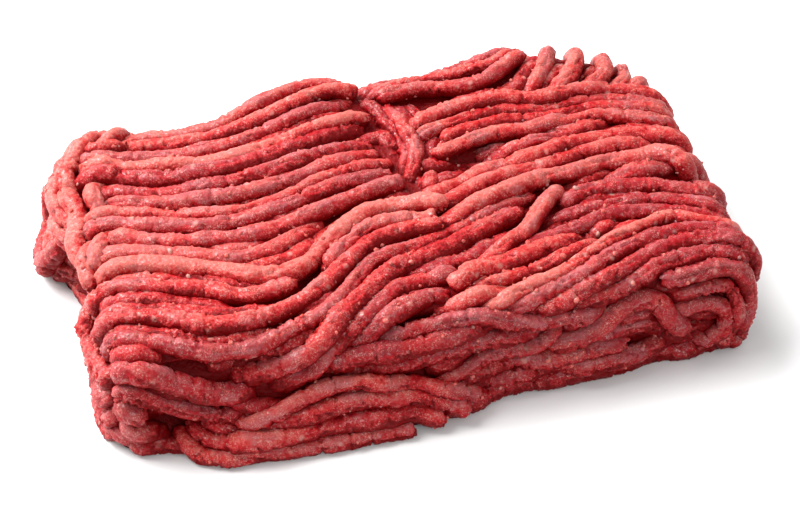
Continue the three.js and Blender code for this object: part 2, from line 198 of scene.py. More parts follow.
ribbons = [
    band("strands_back_left", 10, (0, 2), (0.25, 0.45),
         [(-90, 51), (-81, 48), (-71, 46), (-60, 45), (-46, 45), (-30, 48), (-15, 51), (-2, 52)],
         [(-93, -1), (-82, -1), (-72, -5), (-60, -9), (-46, -10), (-31, -7), (-18, -2), (4, 5)],
         starts=(0.02, 0, 0.03, 0.07, 0, 0.04, 0.1, 0.05, 0, 0.06),
         stops=(0.97, 1, 0.93, 1, 0.96, 0.96, 0.97, 1, 0.97, 1),
         tones=(0, -0.1, 0.1, -0.5, 0.6, 0.3, 0, -0.1, 0.2, 0.1)),
    band("strands_back_left", 1, (0, 0), (0.2, 0.3),
         [(-96, -6), (-82, -7), (-70, -11), (-58, -16), (-47, -17), (-36, -14), (-24, -8)]),
    band("strands_back_left", 4, (-1.0, -0.8), (0.7, 0.6),
         [(1, 46), (5, 38), (9, 28), (8, 18), (4, 8)],
         [(12, 42), (13, 36), (15, 26), (14, 16), (10, 2)],
         wild=0.2, whole=True, girth=0.85),
    band("strands_front_left", 4, (0.5, 1.2), (0.45, 0.12),
         [(-98, -12), (-80, -14), (-60, -20), (-50, -25), (-41, -27), (-33, -25), (-26, -18),
          (-17, -11), (-7, -6), (2, -7), (10, -12)],
         [(-98, -32), (-82, -35), (-70, -40), (-60, -45), (-50, -45), (-40, -42), (-30, -36),
          (-22, -28), (-15, -22), (-4, -19), (9, -18)],
         starts=(0, 0, 0.63, 0), stops=(1, 0.48, 0.98, 1), showing=(False, True), whole=True,
         tones=(-0.6, 0.1, 0, 0.25)),
    band("strands_front_left", 1, (1, 1), (0.75, 0.25),
         [(-98, -40), (-86, -43), (-72, -48), (-60, -51), (-50, -51), (-38, -48), (-28, -43),
          (-19, -33), (-10, -26), (2, -24), (12, -20), (22, -14), (38, -9)],
         whole=True),
    band("strands_front_left", 2, (0, 0.6), (0.7, 0.6),
         [(-58, -63), (-44, -58), (-33, -53), (-25, -46), (-17, -39), (-10, -33), (2, -30),
          (14, -25), (32, -16)],
         [(-48, -66), (-37, -62), (-29, -56), (-22, -50), (-16, -45), (-9, -40), (0, -38),
          (9, -39)],
         whole=True),
    band("strands_front_left", 1, (-0.4, 0.4), (0.7, 0.6),
         [(-34, -61), (-25, -56), (-18, -51), (-11, -47), (-4, -45), (5, -45)],
         whole=True),
    band("strands_front_left", 2, (1.2, 0.4), (0.8, 0.9),
         [(-96, -49), (-86, -54), (-76, -60), (-66, -64), (-54, -66)],
         [(-97, -55), (-87, -60), (-77, -66), (-66, -70), (-55, -71)]),
    band("strands_fringe", 1, (-1, -1), (0.7, 0.7),
         [(-62, -68), (-50, -71), (-38, -70), (-24, -67), (-10, -67)]),
    band("strands_fringe", 4, (1, 1.5), (0.4, 0.6),
         [(-66, -76), (-54, -73), (-42, -69), (-30, -67), (-18, -68), (-6, -72), (8, -79)],
         [(-74, -81), (-62, -82), (-48, -82), (-34, -82), (-22, -82), (-10, -81), (3, -81)],
         stops=(1, 0.97, 0.92, 0.82), showing=(False, True)),
    band("strands_fringe", 3, (0.5, 0.5), (0.55, 0.7),
         [(-8, -76), (0, -71), (10, -68), (22, -66), (34, -62)],
         [(4, -80), (14, -78), (28, -77), (44, -78), (70, -80)]),
    band("strands_fringe", 3, (-1, -0.6), (0.9, 0.9),
         [(-42, -61), (-26, -61), (-12, -61), (0, -60), (14, -57)],
         [(-30, -67), (-14, -64), (0, -62), (16, -62), (34, -66)]),
    band("strands_fringe", 5, (-0.8, -0.4), (0.8, 1.0),
         [(28, -62), (42, -62), (54, -60), (66, -57), (78, -56)],
         [(34, -77), (48, -76), (62, -76), (76, -74), (88, -76)],
         wild=0.3, girth=0.82),
    band("strands_fringe", 1, (0.6, 0.2), (0.8, 1.0),
         [(-6, -83), (14, -83), (34, -82), (54, -83), (74, -83), (92, -82)],
         whole=True),
    band("strands_fringe", 1, (0.5, 1), (0.6, 0.8),
         [(26, -72), (38, -67), (50, -60), (59, -59), (66, -64), (70, -73)]),
    band("strands_fringe", 1, (0.2, 0.4), (0.7, 0.8),
         [(-18, -60), (-8, -58), (1, -55), (10, -54), (19, -56), (29, -58), (38, -58), (47, -60)],
         whole=True),
    band("strands_back_right", 4, (2, 0), (0.3, 0.45),
         [(10, 27), (20, 31), (30, 34), (40, 34), (50, 31), (60, 33), (70, 33), (82, 30),
          (100, 24)],
         [(13, 14), (22, 16), (32, 18), (42, 18), (52, 19), (62, 20), (73, 19), (84, 15),
          (102, 9)],
         starts=(0, 0, 0.05, 0)),
    band("strands_back_right", 2, (-1.2, -0.6), (0.7, 0.5),
         [(6, 13), (17, 12), (28, 11), (40, 11), (54, 13)],
         [(8, 3), (19, 6), (30, 8), (42, 9), (54, 11)]),
    band("strands_back_right", 1, (-1.5, 1), (0.2, 0.3),
         [(30, 11), (40, 13), (50, 15), (60, 16), (70, 18)]),
    band("strands_front_right", 3, (0.8, 0.4), (0.15, 0.4),
         [(3, -8), (11, -4), (20, 0), (30, 4), (40, 6), (50, 8), (62, 10), (74, 10), (86, 5),
          (102, -1)],
         [(4, -18), (13, -14), (22, -10), (32, -7), (42, -5), (52, -4), (62, -2), (74, -3),
          (85, -9), (94, -16)],
         stops=(1, 0.83, 1)),
    band("strands_front_right", 1, (0, 1.5), (0.4, 0.6),
         [(58, -10), (70, -8), (80, -6), (92, -6), (101, -12), (98, -20), (86, -19)]),
    band("strands_front_right", 1, (0.4, 1.8), (0.4, 0.3),
         [(14, -37), (22, -32), (30, -26), (38, -18), (46, -11)]),
    band("strands_front_right", 3, (-0.3, -0.3), (0.75, 0.8),
         [(44, -16), (54, -13), (65, -14), (76, -17), (98, -27)],
         [(18, -32), (32, -30), (46, -27), (60, -25), (74, -27), (98, -38)],
         girth=0.9, starts=(0, 0.1, 0)),
    band("strands_front_right", 2, (0.4, 0.6), (0.25, 0.3),
         [(4, -40), (14, -39), (24, -37), (34, -35), (44, -33)],
         [(6, -45), (16, -44), (26, -42), (37, -39), (49, -35)]),
    band("strands_front_right", 4, (1, 1), (0.4, 0.8),
         [(10, -51), (22, -49), (32, -46), (42, -42), (52, -37), (62, -33), (72, -31), (82, -35),
          (101, -43)],
         [(30, -62), (42, -56), (54, -52), (66, -48), (76, -47), (86, -50), (100, -57)],
         whole=True, girth=0.9, tones=(-0.9, 0.1, 0.3, 0.3)),
    band("strands_front_right", 3, (1.5, 0.2), (0.8, 0.6),
         [(62, -54), (72, -52), (83, -52), (94, -56), (101, -66), (100, -78), (84, -82)],
         [(64, -64), (74, -62), (82, -65), (87, -72), (80, -78), (72, -80)],
         girth=0.85),
    band("strands_back_right", 4, (0.6, 2.5), (0.6, 0.5),
         [(3, 43), (18, 43), (32, 41), (42, 42), (51, 49)],
         [(-2, 60), (14, 62), (30, 62), (46, 60), (60, 63)],
         girth=0.85),
    band("strands_back_right", 1, (0.3, 2.3), (0.2, 0.4),
         [(44, 31), (51, 37), (57, 44), (61, 53), (62, 66)],
         whole=True),
    band("strands_back_right", 1, (0.5, 2.3), (0.1, 0.4),
         [(54, 31), (62, 37), (68, 44), (73, 53), (74, 66)],
         whole=True),
    band("strands_back_right", 3, (0.4, 1.2), (0.3, 0.5),
         [(64, 33), (73, 38), (80, 46), (84, 56), (84, 70)],
         [(78, 32), (87, 36), (94, 42), (99, 50), (104, 60)],
         whole=True, pale=0.5, girth=0.9),
    band("strands_back", 4, (0, 0), (0.4, 0.6),
         [(-90, 58), (-60, 56), (-30, 60), (0, 66), (40, 70)],
         [(-100, 78), (-50, 80), (0, 81), (50, 81), (100, 79)]),
    band("strands_ends", 2, (1.6, 1.0), (0.2, 0.3),
         [(-72, 53), (-81, 46), (-83, 31), (-85, 16), (-88, 0), (-93, -12)],
         [(-79, 56), (-88, 42), (-90, 28), (-91, 14), (-94, 0), (-100, -10)],
         pale=0.7, wild=0.5),
    band("strands_ends", 6, (0.6, 1.2), (0.3, 0.4),
         [(-86, 56), (-92, 40), (-94, 24), (-92, 6), (-92, -14)],
         [(-118, 46), (-120, 28), (-118, 8), (-119, -14), (-118, -42)],
         pale=0.8, wild=0.7, girth=0.9, stops=(1, 0.8, 1, 0.9, 1, 0.95)),
    band("strands_ends", 1, (1.8, 1.8), (0.7, 0.8),
         [(-94, 54), (-104, 52), (-114, 46), (-118, 36), (-115, 25), (-107, 19), (-99, 16)],
         pale=0.2, whole=True),
    band("strands_ends", 1, (0.8, 0.8), (0.8, 1.0),
         [(-120, -34), (-117, -50), (-109, -64), (-97, -76), (-84, -82), (-70, -83)],
         pale=0.3, whole=True),
    band("strands_ends", 3, (1.2, 1.6), (0.7, 1.0),
         [(-100, -14), (-104, -26), (-102, -38), (-97, -52), (-88, -64)],
         [(-116, -30), (-114, -44), (-108, -57), (-95, -72), (-80, -81)],
         pale=0.35, wild=0.7),
    band("strands_ends", 5, (0.3, 0.3), (0.5, 0.7),
         [(97, 44), (99, 28), (98, 12), (99, -4), (99, -24), (97, -42)],
         [(114, 52), (119, 26), (117, 0), (118, -24), (112, -54)],
         wild=0.4),
    band("strands_back_right", 3, (-1.0, -1.0), (0.8, 0.9),
         [(40, 54), (54, 52), (68, 51), (82, 50), (96, 44)],
         [(36, 65), (54, 65), (70, 64), (88, 62), (104, 54)],
         girth=0.9, whole=True),
]

lay = {
    "seed": 7,
    "step": 2.0, "fewest": 6,  # spacing of a strand's places along its way, and least steps
    "driftGain": 1.8, "driftRow": 7.31, "driftChannel": 3.77,  # no two rows wander alike
    "sway": 0.8, "swayLength": 24,  # slow sideways wander
    "bob": 0.55, "bobLength": 16,  # slow rise and fall
    "rowLift": 0.8,  # whole rows lie this much higher or lower
    "wildSway": 2.6, "wildLength": 0.45, "wildBob": 2.2,  # times these where a ribbon is wild
    "wildLeast": 18, "wildMost": 44,
    "radius": 2.85, "radiusSpread": 0.16,  # spread as a share, between strands
    "pulse": 0.07, "pulseLength": 9,  # change of radius along a strand
    "partLeast": 55, "partMost": 150,  # a row is broken into parts this long
    "partRoom": 0.8,  # where more than this share of the longest part is left
    "overlap": 6, "endSide": 1.0, "endSink": 3.4, "endReach": 13,  # how two parts pass at a break
    "dive": 3.2, "diveReach": 9, "diveCurve": 1.5,  # ends of rows dive between the others
    "hollowShare": 0.5,  # how far rows that cross a hollow follow it down
}


def guideAt(places, t):  # a smooth curve through the places, t from 0 to 1
    along = clamp(t, 0, 1) * (len(places) - 1)
    i = min(int(along), len(places) - 2)
    part = along - i
    result = []
    for a, b, c, d in zip(*[places[clamp(i + k, 0, len(places) - 1)] for k in (-1, 0, 1, 2)]):
        slopeB = (c - a) / 2
        slopeC = (d - b) / 2
        cubic = (2 * b - 2 * c + slopeB + slopeC) * part ** 3
        square = (-3 * b + 3 * c - 2 * slopeB - slopeC) * part ** 2
        result.append(cubic + square + slopeB * part + b)
    return result


def drift(length, wave, row, channel):  # smooth noise from about -1 to 1 along a strand
    spot = Vector((length / wave, row * lay["driftRow"], channel * lay["driftChannel"]))
    return noise.noise(spot) * lay["driftGain"]


def newStrand(path, like, number, draws, dull):  # with the looks of a ribbon or another strand
    return {
        "path": path,  # [u, v, lift] at each place
        "piece": like["piece"],
        "number": number,
        "radius": lay["radius"] * like["girth"] * (1 + draws.uniform(-1, 1) * lay["radiusSpread"]),
        "girth": like["girth"],
        "dull": dull,
        "pale": like["pale"],
    }


def partsOf(path, dull, draws, whole, wild):  # breaks a row into parts that pass each other
    lengths = [0]
    for a, b in zip(path, path[1:]):
        lengths.append(lengths[-1] + math.dist(a[:2], b[:2]))
    total = lengths[-1]
    cuts = [0]
    least = lay["wildLeast"] if wild else lay["partLeast"]
    most = lay["wildMost"] if wild else lay["partMost"]
    while not whole and total - cuts[-1] > most * lay["partRoom"]:
        cuts.append(cuts[-1] + draws.uniform(least, most))
        if total - cuts[-1] < least / 2:
            cuts.pop()
            break
    cuts.append(total)
    parts = []
    for k, (begin, stop) in enumerate(zip(cuts, cuts[1:])):
        side = draws.choice((-1, 1))
        points = []
        dulls = []
        for i, place in enumerate(path):
            if not begin - lay["overlap"] <= lengths[i] <= stop + lay["overlap"]:
                continue
            ahead = path[min(i + 1, len(path) - 1)]
            behind = path[max(i - 1, 0)]
            span = math.dist(ahead[:2], behind[:2]) or 1
            across = ((behind[1] - ahead[1]) / span, (ahead[0] - behind[0]) / span)
            nearBegin = clamp(1 - (lengths[i] - begin) / lay["endReach"], 0, 1) if k else 0
            last = k == len(cuts) - 2
            nearStop = 0 if last else clamp(1 - (stop - lengths[i]) / lay["endReach"], 0, 1)
            shift = (nearStop - nearBegin) * side * lay["endSide"]
            sink = max(nearBegin, nearStop) * lay["endSink"]
            points.append([place[0] + across[0] * shift, place[1] + across[1] * shift, place[2] - sink])
            dulls.append(dull[i])
        if len(points) > 3:
            parts.append((points, dulls))
    return parts


def diveEnds(path, showing=(False, False)):
    size = len(path)
    for i, place in enumerate(path):
        for shown, far in ((showing[0], i), (showing[1], size - 1 - i)):
            if not shown:
                near = clamp(1 - far * lay["step"] / lay["diveReach"], 0, 1)
                place[2] -= lay["dive"] * near ** lay["diveCurve"]


def rowsOf(ribbon, number, draws):
    strands = []
    first = ribbon["first"]
    last = ribbon["last"]
    roughLength = sum(math.dist(a, b) for a, b in zip(first, first[1:]))
    count = max(lay["fewest"], round(roughLength / lay["step"]))
    wild = ribbon["wild"]
    sway = lay["sway"] * (1 + (lay["wildSway"] - 1) * wild)
    swayLength = lay["swayLength"] * (1 + (lay["wildLength"] - 1) * wild)
    bob = lay["bob"] * (1 + (lay["wildBob"] - 1) * wild)
    for row in range(ribbon["rows"]):
        across = row / max(1, ribbon["rows"] - 1)
        start = ribbon["starts"][row]
        stop = ribbon["stops"][row]
        key = number + row
        rowLift = draws.uniform(-1, 1) * lay["rowLift"]
        path = []
        dull = []
        for i in range(count + 1):
            t = start + (stop - start) * i / count
            a = guideAt(first, t)
            b = guideAt(last, t)
            u, v = (between(pair, across) for pair in zip(a, b))
            length = t * roughLength
            u += drift(length, swayLength, key, 1) * sway
            v += drift(length, swayLength, key, 2) * sway
            lift = between(ribbon["lift"], t)
            lift += drift(length, lay["bobLength"], key, 3) * bob + rowLift
            if not ribbon["whole"]:
                lift -= hollowAt(u, v) * lay["hollowShare"]
            path.append([u, v, lift])
            dull.append(between(ribbon["dull"], t) + ribbon["tones"][row])
        diveEnds(path, ribbon["showing"])
        for part, dulls in partsOf(path, dull, draws, ribbon["whole"], wild):
            strands.append(newStrand(part, ribbon, key, draws, dulls))
    return strands


# Further strands fill what the ribbons leave open: each follows the flow of those around it.
fill = {
    "grid": 2.6,
    "apart": 2.5,  # a new strand keeps this far from the others
    "start": 2.9,  # and begins only this far from them
    "reach": 16, "around": 14,  # how far away strands steer the flow, and how many places at most
    "cell": 4,  # places are kept by squares of this size
    "longest": 62, "shortest": 7,
    "lift": -1.5, "lowest": -1.3,
    "rise": 0.5,  # how far it may be pushed up
    "brink": 1.0,  # it ends where a hollow is this deep
}


class Flow:
    def __init__(self):
        self.cells = {}

    def cellOf(self, u, v):
        return int(u // fill["cell"]), int(v // fill["cell"])

    def add(self, strand):
        path = strand["path"]
        for i, place in enumerate(path):
            a = path[max(i - 1, 0)]
            b = path[min(i + 1, len(path) - 1)]
            span = math.dist(a[:2], b[:2]) or 1
            entry = {
                "place": place, "way": ((b[0] - a[0]) / span, (b[1] - a[1]) / span),
                "dull": strand["dull"][i], "strand": strand,
            }
            self.cells.setdefault(self.cellOf(place[0], place[1]), []).append(entry)

    def near(self, u, v, reach):
        span = int(reach // fill["cell"]) + 1
        cu, cv = self.cellOf(u, v)
        for i in range(cu - span, cu + span + 1):
            for j in range(cv - span, cv + span + 1):
                for entry in self.cells.get((i, j), ()):
                    far = math.hypot(entry["place"][0] - u, entry["place"][1] - v)
                    if far < reach:
                        yield far, entry

    def clear(self, u, v, apart):
        return not any(True for _ in self.near(u, v, apart))

    def steer(self, u, v, aim=None):  # way, lift, dullness and nearest strand around a place
        around = sorted(self.near(u, v, fill["reach"]), key=lambda pair: pair[0])[:fill["around"]]
        if not around:
            return None
        nearest = around[0][1]
        aim = aim or nearest["way"]
        du = dv = lift = dull = weight = 0
        for far, entry in around:
            share = 1 / (far + 1) ** 2
            wayU, wayV = entry["way"]
            sign = 1 if wayU * aim[0] + wayV * aim[1] >= 0 else -1
            du += wayU * sign * share
            dv += wayV * sign * share
            lift += entry["place"][2] * share
            dull += entry["dull"] * share
            weight += share
        span = math.hypot(du, dv) or 1
        return (du / span, dv / span), lift / weight, dull / weight, nearest["strand"]


def onBlock(u, v):
    over = math.hypot(max(0, abs(u) - flatX), max(0, abs(v) - flatY))
    return over < quarter + turnZ - lay["radius"]


def fillStrands(strands, draws, number):
    flow = Flow()
    for strand in strands:
        flow.add(strand)
    spots = []
    reachU = flatX + quarter + turnZ
    reachV = flatY + quarter + turnZ
    for i in range(int(2 * reachU / fill["grid"])):
        for j in range(int(2 * reachV / fill["grid"])):
            spots.append((-reachU + (i + draws.random()) * fill["grid"],
                          -reachV + (j + draws.random()) * fill["grid"]))
    draws.shuffle(spots)
    added = []
    for u, v in spots:
        if not onBlock(u, v) or not flow.clear(u, v, fill["start"]) or hollowAt(u, v) > 0:
            continue
        start = flow.steer(u, v)
        if not start:
            continue
        way, lift, dull, host = start
        halves = []
        for sign in (1, -1):
            aim = (way[0] * sign, way[1] * sign)
            place = [u, v]
            half = []
            while len(half) * lay["step"] < fill["longest"] / 2:
                ahead = flow.steer(*place, aim)
                if not ahead:
                    break
                aim = ahead[0]
                place = [place[0] + aim[0] * lay["step"], place[1] + aim[1] * lay["step"]]
                if not onBlock(*place) or not flow.clear(*place, fill["apart"]):
                    break
                if hollowAt(*place) > fill["brink"]:
                    break
                half.append((place, *ahead[1:3]))
            halves.append(half)
        way = halves[1][::-1] + [([u, v], lift, dull)] + halves[0]
        if (len(way) - 1) * lay["step"] < fill["shortest"]:
            continue
        path = []
        for i, (place, lift, dull) in enumerate(way):
            bob = drift(i * lay["step"], lay["bobLength"], number, 3) * lay["bob"]
            path.append([*place, max(lift + fill["lift"], fill["lowest"]) + bob])
        diveEnds(path)
        strand = newStrand(path, host, number, draws, [dull for place, lift, dull in way])
        strand["rise"] = fill["rise"]
        added.append(strand)
        flow.add(strand)
        number += 1
    return added


# The strands then push each other aside where they meet, and stay near the skin.
press = {
    "rounds": 10,
    "overlap": 0.76,  # share of two radii that stays between two strands: below 1 they are pressed
    "reach": 6.2, "nearest": 1e-4,  # places further apart, or as good as one, aren't pushed
    "own": 5,  # nor are places of one strand less than this many steps apart
    "give": 0.35, "move": 0.8, "evening": 3,  # share of a push that counts, and how it is evened out
    "pull": 0.12,  # mm a round back toward the skin
    "rise": 2.4, "sink": 2.0, "side": 2.6,  # furthest a place moves from where it was laid
    "groundShare": 0.85,  # of a radius, between a strand's middle and the ground
    "topSpare": 0.6, "sideSpare": 0.8,  # how far a strand may pass the block's own box
    "view": 9,  # how far around a place is compared for its depth
    "sunk": (-1, 1.5),  # least and most depth, in radii
    # painted darker towards the ground: strands near it get the painted shade of sunken ones
    "coatAndLowDark": 0.5, "lowDarkUp": 12,  # strands near the ground look as dark as sunken ones, up to this height
}


def treeOf(flat):  # for finding neighbours among all the strands' places
    tree = kdtree.KDTree(len(flat))
    for index, (strand, i) in enumerate(flat):
        tree.insert(strand["places"][i], index)
    tree.balance()
    return tree


def pressTogether(strands):
    flat = []
    for strand in strands:
        strand["places"] = [onSkin(*p) for p in strand["path"]]
        strand["laid"] = [p.copy() for p in strand["places"]]
        strand["out"] = []
        for u, v, w in strand["path"]:
            strand["out"].append((onSkin(u, v, w + 1) - onSkin(u, v, w - 1)).normalized())
        strand["thick"] = []
        for i in range(len(strand["path"])):
            change = drift(i * lay["step"], lay["pulseLength"], strand["number"], 4) * lay["pulse"]
            strand["thick"].append(strand["radius"] * (1 + change))
        flat += [(strand, i) for i in range(len(strand["path"]))]
    least = [v / mm for v in cadLow]
    most = [v / mm for v in cadHigh]
    for _ in range(press["rounds"]):
        tree = treeOf(flat)
        pushes = []
        for strand, i in flat:
            push = Vector()
            place = strand["places"][i]
            for co, index, far in tree.find_range(place, press["reach"]):
                other, j = flat[index]
                if other is strand and abs(i - j) < press["own"]:
                    continue
                room = (strand["thick"][i] + other["thick"][j]) * press["overlap"] - far
                if room > 0 and far > press["nearest"]:
                    push += (place - co) / far * room * press["give"]
            pushes.append(push)
        index = 0
        for strand in strands:
            size = len(strand["places"])
            own = pushes[index:index + size]
            index += size
            for _ in range(press["evening"]):
                before = [own[0]] + own[:-1]
                after = own[1:] + [own[-1]]
                own = [(a + b * 2 + c) / 4 for a, b, c in zip(before, own, after)]
            for i in range(size):
                out = strand["out"][i]
                pushed = strand["places"][i] + own[i] * press["move"]
                move = pushed - out * press["pull"] - strand["laid"][i]
                rise = move.dot(out)
                side = move - out * rise
                if side.length > press["side"]:
                    side *= press["side"] / side.length
                rise = clamp(rise, -press["sink"], strand.get("rise", press["rise"]))
                place = strand["laid"][i] + out * rise + side
                thick = strand["thick"][i]
                highest = most[2] - thick + press["topSpare"]
                place.z = clamp(place.z, thick * press["groundShare"], highest)
                for axis in (0, 1):
                    shift = block["middle"][axis]
                    low = least[axis] + shift + thick - press["sideSpare"]
                    high = most[axis] + shift - thick + press["sideSpare"]
                    place[axis] = clamp(place[axis], low, high)
                strand["places"][i] = place


# painted shade: the deeper a place lies among the others, the darker the material paints it
def findSunk(strands):  # how far each place lies below the strands around it, in radii
    flat = [(strand, i) for strand in strands for i in range(len(strand["places"]))]
    tree = treeOf(flat)
    for strand in strands:
        strand["sunk"] = []
        for i, place in enumerate(strand["places"]):
            depth = 0
            count = 0
            for co, index, far in tree.find_range(place, press["view"]):
                other, j = flat[index]
                if other is not strand:
                    depth += (co - place).dot(strand["out"][i])
                    count += 1
            low = clamp(1 - place.z / press["lowDarkUp"], 0, 1) * press["coatAndLowDark"]
            sunk = clamp(depth / max(1, count) / strand["radius"], *press["sunk"])
            strand["sunk"].append(sunk + low)


def linesMesh(name, strands):
    mesh = bpy.data.meshes.new(name)
    points = [toScene(p) for s in strands for p in s["places"]]
    edges = []
    base = 0
    for s in strands:
        edges += [(base + i, base + i + 1) for i in range(len(s["places"]) - 1)]
        base += len(s["places"])
    mesh.from_pydata(points, edges, [])
    values = {
        "thick": [t * mm for s in strands for t in s["thick"]],
        "pale": [float(s["pale"]) for s in strands for _ in s["places"]],
        "strandNumber": [float(s["number"]) for s in strands for _ in s["places"]],
    }
    for key in ("dull", "sunk"):
        values[key] = [d for s in strands for d in s[key]]
    for key, numbers in values.items():
        mesh.attributes.new(key, "FLOAT", "POINT").data.foreach_set("value", numbers)
    outward = mesh.attributes.new("outward", "FLOAT_VECTOR", "POINT")
    outward.data.foreach_set("vector", [c for s in strands for o in s["out"] for c in o])
    return mesh


# A node tree in the making, with a short call for each kind of node.
class Nodes:
    def __init__(self, tree):
        self.tree = tree

    def plug(self, target, source):
        if isinstance(source, bpy.types.NodeSocket):
            self.tree.links.new(source, target)
        else:
            target.default_value = source

    def add(self, kind, inputs=None, **settings):
        node = self.tree.nodes.new(kind)
        for key, value in settings.items():
            setattr(node, key, value)
        for key, source in (inputs or {}).items():
            self.plug(node.inputs[key], source)
        return node

    def calc(self, operation, a, b=0.0, clamped=False):
        node = self.add("ShaderNodeMath", {0: a, 1: b}, operation=operation, use_clamp=clamped)
        return node.outputs[0]

    def minus(self, a, b):
        return self.calc("SUBTRACT", a, b)

    def times(self, *values):
        result = values[0]
        for value in values[1:]:
            result = self.calc("MULTIPLY", result, value)
        return result

    def plus(self, *values):
        result = values[0]
        for value in values[1:]:
            result = self.calc("ADD", result, value)
        return result

    def off(self, value, gain):  # how far a value from 0 to 1 is off its middle, times a gain
        return self.times(self.minus(value, 0.5), gain)

    def vector(self, operation, a, b=None):
        inputs = {0: a}
        if b is not None:
            inputs["Scale" if operation == "SCALE" else 1] = b
        node = self.add("ShaderNodeVectorMath", inputs, operation=operation)
        return node.outputs["Value"] if operation == "DOT_PRODUCT" else node.outputs[0]

    def xyz(self, x, y=0.0, z=0.0):
        return self.add("ShaderNodeCombineXYZ", {0: x, 1: y, 2: z}).outputs[0]

    def ramp(self, value, low, high, toLow=0.0, toHigh=1.0):
        inputs = dict(enumerate((value, low, high, toLow, toHigh)))
        return self.add("ShaderNodeMapRange", inputs, interpolation_type="SMOOTHSTEP").outputs[0]

    def scaleFor(self, size):
        return self.calc("DIVIDE", 1.0, size) if isinstance(size, bpy.types.NodeSocket) else 1 / size

    def noise(self, vector, size, detail=2.0, rough=0.5):
        inputs = {"Vector": vector, "Scale": self.scaleFor(size), "Detail": detail, "Roughness": rough}
        return self.add("ShaderNodeTexNoise", inputs).outputs[0]

    def cells(self, vector, size):
        return self.add("ShaderNodeTexVoronoi", {"Vector": vector, "Scale": self.scaleFor(size)}).outputs

    def blend(self, factor, a, b):
        return self.add("ShaderNodeMix", {"Factor": factor, 6: a, 7: b}, data_type="RGBA").outputs[2]

    def attribute(self, name):
        return self.add("ShaderNodeAttribute", attribute_name=name).outputs["Fac"]

    def named(self, name, kind="FLOAT"):
        node = self.add("GeometryNodeInputNamedAttribute", {"Name": name}, data_type=kind)
        return node.outputs["Attribute"]

    def keep(self, geometry, name, value, kind="FLOAT"):
        inputs = {"Geometry": geometry, "Name": name, "Value": value}
        node = self.add("GeometryNodeStoreNamedAttribute", inputs, data_type=kind, domain="POINT")
        return node.outputs[0]

    def place(self, geometry, **where):  # where is Offset or Position
        return self.add("GeometryNodeSetPosition", {"Geometry": geometry, **where}).outputs[0]

    def finish(self, geometry, material):  # the last nodes of a geometry tree
        smooth = self.add("GeometryNodeSetShadeSmooth", {"Geometry": geometry})
        real = self.add("GeometryNodeRealizeInstances", {0: smooth.outputs[0]})
        inputs = {"Geometry": real.outputs[0], "Material": material}
        coloured = self.add("GeometryNodeSetMaterial", inputs)
        self.add("NodeGroupOutput", {0: coloured.outputs[0]})
        return self.tree


def geometryTree(name, look):
    tree = bpy.data.node_groups.new(name, "GeometryNodeTree")
    tree.interface.new_socket("Geometry", in_out="INPUT", socket_type="NodeSocketGeometry")
    for label, (kind, value) in look.items():
        socket = tree.interface.new_socket(label, in_out="INPUT", socket_type=kind)
        if kind != "NodeSocketMaterial":
            socket.default_value = value
    tree.interface.new_socket("Geometry", in_out="OUTPUT", socket_type="NodeSocketGeometry")
    nodes = Nodes(tree)
    return nodes, nodes.add("NodeGroupInput").outputs


def runTree(obj, tree, look, **changes):  # leaves the tree's result on the object as a plain mesh
    values = {label: value for label, (kind, value) in look.items()}
    values.update(changes)
    modifier = obj.modifiers.new(tree.name, "NODES")
    modifier.node_group = tree
    for item in tree.interface.items_tree:
        if item.item_type == "SOCKET" and item.in_out == "INPUT" and item.name in values:
            modifier[item.identifier] = values[item.name]
    graph = bpy.context.evaluated_depsgraph_get()
    made = bpy.data.meshes.new_from_object(obj.evaluated_get(graph), depsgraph=graph)
    obj.modifiers.remove(modifier)
    old = obj.data
    obj.data = made
    made.name = obj.name
    bpy.data.meshes.remove(old)


strandLook = {  # inputs of the tree that makes the strands, lengths in metres
    "Step": ("NodeSocketFloat", 0.00060),
    "Sides": ("NodeSocketInt", 25),
    "Belly height": ("NodeSocketFloat", 0.00030),
    "Lump size": ("NodeSocketFloat", 0.0036),
    "Lump height": ("NodeSocketFloat", 0.00030),
    "Grain size": ("NodeSocketFloat", 0.00125),
    "Grain height": ("NodeSocketFloat", 0.00026),
    "Crack spacing": ("NodeSocketFloat", 0.0064),
    "Crack depth": ("NodeSocketFloat", 0.00095),
    "Seam depth": ("NodeSocketFloat", 0.00080),
    # painted light: crowns lean toward the key light, so the lit colours fall on the side the light comes
    # from
    "Toward light": ("NodeSocketVector", (-0.3, 0.6, 1.1)),  # crowns lean this way from the skin
    "Seed": ("NodeSocketInt", 3),
    "Material": ("NodeSocketMaterial", None),
}
strandDetail = {  # what stays the same for all strands: sizes in metres, low and high of a change
    "tornSize": 0.0016, "tornFrom": (0.3, 0.7),
    "tornReach": (0.6, 1.7),  # the ends round off over this many radii
    "endPower": 2.4, "endLeast": 0.12,  # shape of an end, and its least radius as a share
    "numberShift": 0.173, "seedShift": 0.61, "crackShift": 0.113,  # no two strands are the same
    "bellySize": 0.011, "bellyGain": 4.0, "lumpGain": 3.0, "grainGain": 2.0,
    "grainMiddle": 0.45,
    "raggedSize": 0.008, "raggedFrom": (0.5, 0.68), "ragged": (0.7, 2.2),  # grain comes in patches
    "tipTo": 0.7, "tipRagged": (1.0, 2.6),  # and is stronger at the tips
    "dullFrom": (0.2, 1.0), "dullRagged": (0.8, 1.9),  # and on dull strands
    "bendSize": 0.0022, "bend": 0.0034, "crackWidth": 0.11,  # cracks wander, and come in patches
    "crackPatch": 0.0045, "crackFrom": (0.47, 0.62),
    "seamWave": 0.016, "seamGain": 3.4, "seamWidth": (0.03, 0.24),  # seams wander from side to side
    "seamPatch": 0.009, "seamFrom": (0.46, 0.56), "seamUpper": (-0.3, 0.1),
    "ground": 0.00005,  # nothing goes below this
}


